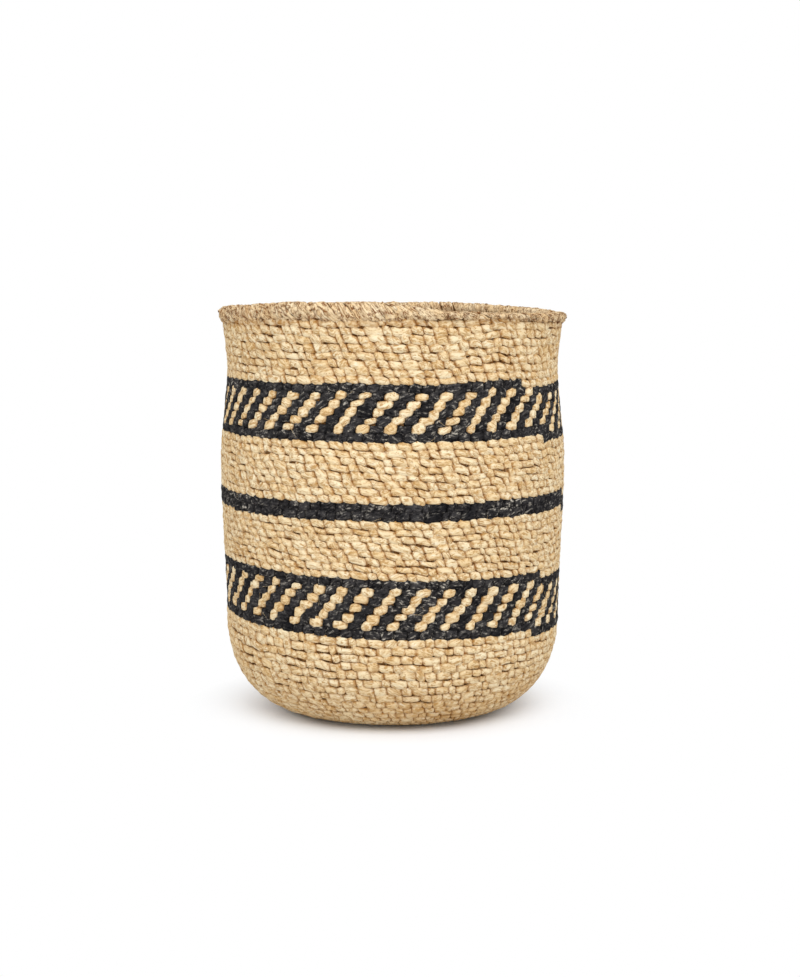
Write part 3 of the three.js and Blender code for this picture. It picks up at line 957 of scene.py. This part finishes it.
CRUMPLE_RELIEF = 1.3  # beside the fibres' relief
WRINKLE_RELIEF = -0.35
RELIEF = 1.1 * MM  # how high the bumps of the grain are
FIBRE_SHEEN = (0.12, -0.1)  # what sunken and raised fibres add to the roughness
STRAW_SHINE = 0.02  # straw is nearly without gloss, which keeps its creases warm


def add_node(tree, kind, **values):
    """A shader node with its settings, and with values on its inputs by their number or name."""
    made = tree.nodes.new(kind)
    inputs = values.pop("inputs", {})
    for setting, value in values.items():
        setattr(made, setting, value)
    for socket, value in inputs.items():
        made.inputs[socket].default_value = value
    return made


def put(tree, value, plug):
    """A number, a colour or another node's output on an input."""
    if isinstance(value, bpy.types.NodeSocket):
        tree.links.new(value, plug)
    else:
        plug.default_value = value


def calculated(tree, operation, *values, **settings):
    made = add_node(tree, "ShaderNodeMath", operation=operation, **settings)
    for value, plug in zip(values, made.inputs):
        put(tree, value, plug)
    return made.outputs[0]


def ranged(tree, value, low, high, to_low=0.0, to_high=1.0):
    """A value between two ends, brought between two other ends and kept there."""
    ends = {"From Min": low, "From Max": high, "To Min": to_low, "To Max": to_high}
    made = add_node(tree, "ShaderNodeMapRange", inputs=ends)
    put(tree, value, made.inputs["Value"])
    return made.outputs[0]


def noise(tree, place, **settings):
    made = add_node(tree, "ShaderNodeTexNoise", inputs=settings)
    tree.links.new(place, made.inputs["Vector"])
    return made.outputs["Fac"]


def mixed_colour(tree, factor, below, above):
    mix = add_node(tree, "ShaderNodeMix", data_type="RGBA")
    put(tree, factor, mix.inputs["Factor"])
    plugs = [plug for plug in mix.inputs if plug.type == "RGBA"]
    for value, plug in zip((below, above), plugs):
        put(tree, value, plug)
    return [plug for plug in mix.outputs if plug.type == "RGBA"][0]


def straw_grain_group():
    """Fibres that run along each strand, a tone for each stitch and broad patches over the weave."""
    group = bpy.data.node_groups.new("straw_grain", "ShaderNodeTree")
    socket = group.interface.new_socket
    for name in ("Fibres along", "Fibres across"):
        socket(name, in_out="INPUT", socket_type="NodeSocketFloat")
    enter = group.nodes.new("NodeGroupInput")
    marks = {
        mark: add_node(group, "ShaderNodeAttribute", attribute_name=mark).outputs["Fac"]
        for mark in ("along", "across", "tone", "crease")
    }
    position = group.nodes.new("ShaderNodeTexCoord").outputs["Object"]
    height = group.nodes.new("ShaderNodeSeparateXYZ")
    group.links.new(position, height.inputs[0])

    # A place on the strand, in fibres along it and across it, and different for each stitch
    place = group.nodes.new("ShaderNodeCombineXYZ")
    along = calculated(group, "MULTIPLY", marks["along"], enter.outputs["Fibres along"])
    across = calculated(group, "MULTIPLY", marks["across"], enter.outputs["Fibres across"])
    for value, plug in zip((along, across, marks["tone"]), place.inputs):
        group.links.new(value, plug)
    fibre = noise(group, place.outputs[0], Scale=1.0, Detail=4.0, Roughness=0.7)
    broad = noise(group, position, Scale=22.0, Detail=3.0, Roughness=0.6)
    patch = ranged(group, broad, *PATCHES)
    crumple = noise(group, position, Scale=260.0, Detail=2.0, Roughness=0.55)

    # Wrinkles are thin lines where a coarse noise passes its middle, in crumpled places
    folds = noise(group, place.outputs[0], Scale=0.65, Detail=2.0, Distortion=1.0)
    from_fold = calculated(group, "ABSOLUTE", calculated(group, "SUBTRACT", folds, 0.5))
    crumpled = ranged(group, crumple, *CRUMPLED)
    wrinkle = calculated(group, "MULTIPLY", ranged(group, from_fold, *FOLDS), crumpled)
    relief = calculated(group, "MULTIPLY_ADD", crumple, CRUMPLE_RELIEF, fibre)

    # Glints, which are pale fibres and painted highlights, gather in some patches, the painted crease
    # shade is broken up here and there, and the strands are darker in patches low down
    glint = ranged(group, fibre, *GLINTING_FIBRES)
    glint_share = ranged(group, patch, 0.0, 1.0, *GLINT_SHARES)
    whole = ranged(group, crumple, *UNBROKEN_CREASE_SHADE, BROKEN_CREASE_SHADE)
    low = ranged(group, height.outputs["Z"], LOW_DARKENING_HEIGHT, 0.0)
    results = {
        "Fibre": fibre,
        "Glint": calculated(group, "MULTIPLY", glint, glint_share),
        "Tone": ranged(group, marks["tone"], *PALER_TONES),
        "Patch": patch,
        "Wrinkle": wrinkle,
        "Crease shade": calculated(group, "MULTIPLY", marks["crease"], whole),
        "Darker low down": calculated(group, "MULTIPLY", low, patch),
        "Height": calculated(group, "MULTIPLY_ADD", wrinkle, WRINKLE_RELIEF, relief),
    }
    for name in results:
        socket(name, in_out="OUTPUT", socket_type="NodeSocketFloat")
    leave = group.nodes.new("NodeGroupOutput")
    for name, value in results.items():
        group.links.new(value, leave.inputs[name])
    return group


def straw_finish(name, grain, colours, glints, wrinkles, roughness, bump, along, across):
    """A straw material, with how strong its glints, wrinkles and bumps are and how fine its fibres."""
    material = bpy.data.materials.new(name)
    material.use_nodes = True
    tree = material.node_tree
    surface = tree.nodes["Principled BSDF"]
    strands = tree.nodes.new("ShaderNodeGroup")
    strands.node_tree = grain
    strands.inputs["Fibres along"].default_value = along
    strands.inputs["Fibres across"].default_value = across
    marks = strands.outputs
    tint = {part: (*colour, 1.0) for part, colour in colours.items()}

    # Each step lays a tint over what is below it, where its mask is and by its share of it
    colour = mixed_colour(tree, marks["Tone"], tint["plain"], tint["pale"])
    shaded = ranged(tree, marks["Fibre"], *DARK_FIBRES)
    steps = (
        (marks["Patch"], "patch", PATCH_SHARE),
        (shaded, "dark", DARK_SHARE),
        (marks["Glint"], "glint", glints),
        (marks["Wrinkle"], "dark", wrinkles),
        (marks["Darker low down"], "dark", LOW_DARKENING_SHARE),
        # The last tint is painted shade in joints, grooves and seams
        (marks["Crease shade"], "crease", CREASE_SHADE_SHARE),
    )
    for mask, part, share in steps:
        factor = calculated(tree, "MULTIPLY", mask, share, use_clamp=True)
        colour = mixed_colour(tree, factor, colour, tint[part])
    tree.links.new(colour, surface.inputs["Base Color"])
    ends = [roughness + change for change in FIBRE_SHEEN]
    rough = ranged(tree, marks["Fibre"], 0.0, 1.0, *ends)
    tree.links.new(rough, surface.inputs["Roughness"])
    relief = add_node(tree, "ShaderNodeBump", inputs={"Strength": bump, "Distance": RELIEF})
    tree.links.new(marks["Height"], relief.inputs["Height"])
    tree.links.new(relief.outputs[0], surface.inputs["Normal"])
    surface.inputs["Specular IOR Level"].default_value = STRAW_SHINE
    return material


# In each finish the colour for creases is painted shade, and the glint colour is pale fibre, partly
# painted highlight
FINISHES = {
    "natural": {
        "colours": {
            "dark": (0.52, 0.28, 0.085),
            "plain": (0.89, 0.68, 0.385),
            "pale": (0.99, 0.88, 0.62),
            "patch": (0.90, 0.67, 0.375),
            "crease": (0.40, 0.158, 0.022),
            "glint": (0.99, 0.93, 0.76),
        },
        "glints": 0.7,
        "wrinkles": 0.8,
        "roughness": 0.62,
        "bump": 0.6,
        "along": 150,
        "across": 430,
    },
    "black": {
        "colours": {
            "dark": (0.004, 0.004, 0.005),
            "plain": (0.016, 0.0155, 0.0175),
            "pale": (0.066, 0.062, 0.063),
            "patch": (0.062, 0.057, 0.055),
            "crease": (0.004, 0.004, 0.005),
            "glint": (0.72, 0.66, 0.56),
        },
        "glints": 0.9,
        "wrinkles": 0.75,
        "roughness": 0.72,
        "bump": 0.7,
        "along": 190,
        "across": 420,
    },
    "stake": {
        "colours": {
            "dark": (0.27, 0.13, 0.042),
            "plain": (0.44, 0.25, 0.095),
            "pale": (0.57, 0.35, 0.15),
            "patch": (0.42, 0.225, 0.08),
            "crease": (0.19, 0.078, 0.02),
            "glint": (0.66, 0.48, 0.28),
        },
        "glints": 0.7,
        "wrinkles": 0.75,
        "roughness": 0.7,
        "bump": 0.5,
        "along": 110,
        "across": 900,
    },
    "border": {
        "colours": {
            "dark": (0.23, 0.078, 0.016),
            "plain": (0.89, 0.65, 0.36),
            "pale": (0.97, 0.83, 0.575),
            "patch": (0.84, 0.565, 0.285),
            "crease": (0.15, 0.048, 0.008),
            "glint": (0.99, 0.92, 0.75),
        },
        "glints": 0.75,
        "wrinkles": 0.95,
        "roughness": 0.65,
        "bump": 0.6,
        "along": 110,
        "across": 750,
    },
}


def mix_finishes():
    grain = straw_grain_group()
    finishes = {}
    for name, finish in FINISHES.items():
        finishes[name] = straw_finish(f"{name}_straw", grain, **finish)
    return finishes


# The stage: a white floor that keeps the soft shadow, a white backdrop and soft lamps

FLOOR_WHITE = (0.85, 0.85, 0.85, 1.0)
FLOOR_WHITE_SEEN = (1.02, 1.062, 1.12, 1.0)  # evens out the warm light that the basket throws on it
SHADOW_MIDDLE = (0, -20 * MM, 0)
SHADOW_REACH = (85 * MM, 185 * MM)  # from its middle, where the shadow begins to fade and ends
FLOOR_HALF = 2.6
PURE_WHITE = {"Color": (1, 1, 1, 1), "Strength": 1.0}
WORLD_LIGHT = 0.7  # what the surroundings give, where they are seen at 1
LAMP_AIM = (0, 0, 0.18)
LAMPS = {  # place, size and power
    "key_lamp": ((0.35, -1.65, 2.1), 1.8, 34),
    "fill_lamp": ((-1.6, -1.5, 1.1), 1.4, 3.5),
}


def seen_plainly(tree):
    """1 where something is looked at, also in gloss or through glass, and 0 where it gives light."""
    path = tree.nodes.new("ShaderNodeLightPath")
    seen = path.outputs["Is Camera Ray"]
    for ray in ("Is Glossy Ray", "Is Transmission Ray"):
        seen = calculated(tree, "MAXIMUM", seen, path.outputs[ray])
    return seen


def mixed_shader(tree, factor, below, above):
    choice = tree.nodes.new("ShaderNodeMixShader")
    for value, plug in zip((factor, below, above), choice.inputs):
        tree.links.new(value, plug)
    return choice.outputs[0]


def lay_floor():
    mesh = bpy.data.meshes.new("floor")
    half = FLOOR_HALF
    corners = [(-half, -half, 0), (half, -half, 0), (half, half, 0), (-half, half, 0)]
    mesh.from_pydata(corners, [], [(0, 1, 2, 3)])
    floor = bpy.data.objects.new("floor", mesh)
    bpy.context.scene.collection.objects.link(floor)
    material = bpy.data.materials.new("white_floor")
    material.use_nodes = True
    tree = material.node_tree
    tree.nodes.clear()
    seen = seen_plainly(tree)
    paint = tree.nodes.new("ShaderNodeBsdfDiffuse")
    tree.links.new(mixed_colour(tree, seen, FLOOR_WHITE, FLOOR_WHITE_SEEN), paint.inputs["Color"])
    place = tree.nodes.new("ShaderNodeTexCoord").outputs["Object"]
    distance = add_node(tree, "ShaderNodeVectorMath", operation="DISTANCE", inputs={1: SHADOW_MIDDLE})
    tree.links.new(place, distance.inputs[0])
    far = ranged(tree, distance.outputs["Value"], *SHADOW_REACH)
    seen_far = calculated(tree, "MULTIPLY", far, seen)
    backdrop = add_node(tree, "ShaderNodeEmission", inputs=PURE_WHITE)
    end = tree.nodes.new("ShaderNodeOutputMaterial")
    shown = mixed_shader(tree, seen_far, paint.outputs[0], backdrop.outputs[0])
    tree.links.new(shown, end.inputs["Surface"])
    mesh.materials.append(material)


def light_world():
    world = bpy.data.worlds.new("white_studio")
    bpy.context.scene.world = world
    world.use_nodes = True
    tree = world.node_tree
    tree.nodes.clear()
    backdrop = add_node(tree, "ShaderNodeBackground", inputs=PURE_WHITE)
    lighting = add_node(tree, "ShaderNodeBackground", inputs={**PURE_WHITE, "Strength": WORLD_LIGHT})
    end = tree.nodes.new("ShaderNodeOutputWorld")
    shown = mixed_shader(tree, seen_plainly(tree), lighting.outputs[0], backdrop.outputs[0])
    tree.links.new(shown, end.inputs["Surface"])


def hang_lamp(name, place, size, power):
    lamp = bpy.data.lights.new(name, "AREA")
    lamp.shape = "SQUARE"
    lamp.size = size
    lamp.energy = power
    holder = bpy.data.objects.new(name, lamp)
    bpy.context.scene.collection.objects.link(holder)
    holder.location = place
    direction = np.array(LAMP_AIM) - np.array(place)
    flat = math.hypot(direction[0], direction[1])
    holder.rotation_euler = (
        math.atan2(flat, -direction[2]),
        0,
        math.atan2(direction[0], -direction[1]) + math.pi,
    )


# The camera, fitted to the basket's outline in the photograph

SENSOR_WIDTH = 36  # mm
PHOTO_HEIGHT = 977  # pixels
FOCAL_PIXELS = 1900
CAMERA_DISTANCE = 1.653
CAMERA_HEIGHT = 0.3958
CAMERA_PITCH = math.radians(7.1)
CAMERA_SIDE = 6.5 * MM  # the basket stands a little left of the middle of the photograph


def place_camera():
    camera = bpy.data.cameras.new("camera")
    camera.sensor_width = SENSOR_WIDTH
    camera.lens = camera.sensor_width * FOCAL_PIXELS / PHOTO_HEIGHT
    holder = bpy.data.objects.new("camera", camera)
    bpy.context.scene.collection.objects.link(holder)
    holder.location = (CAMERA_SIDE, -CAMERA_DISTANCE, CAMERA_HEIGHT)
    holder.rotation_euler = (math.pi / 2 - CAMERA_PITCH, 0, 0)
    bpy.context.scene.camera = holder


finishes = mix_finishes()
lay_weft(finishes)
lay_stakes(finishes)
tie_knot(finishes)
wind_border(finishes)
lay_floor()
light_world()
for name, (place, size, power) in LAMPS.items():
    hang_lamp(name, place, size, power)
place_camera()
bpy.context.scene.view_settings.view_transform = "Standard"
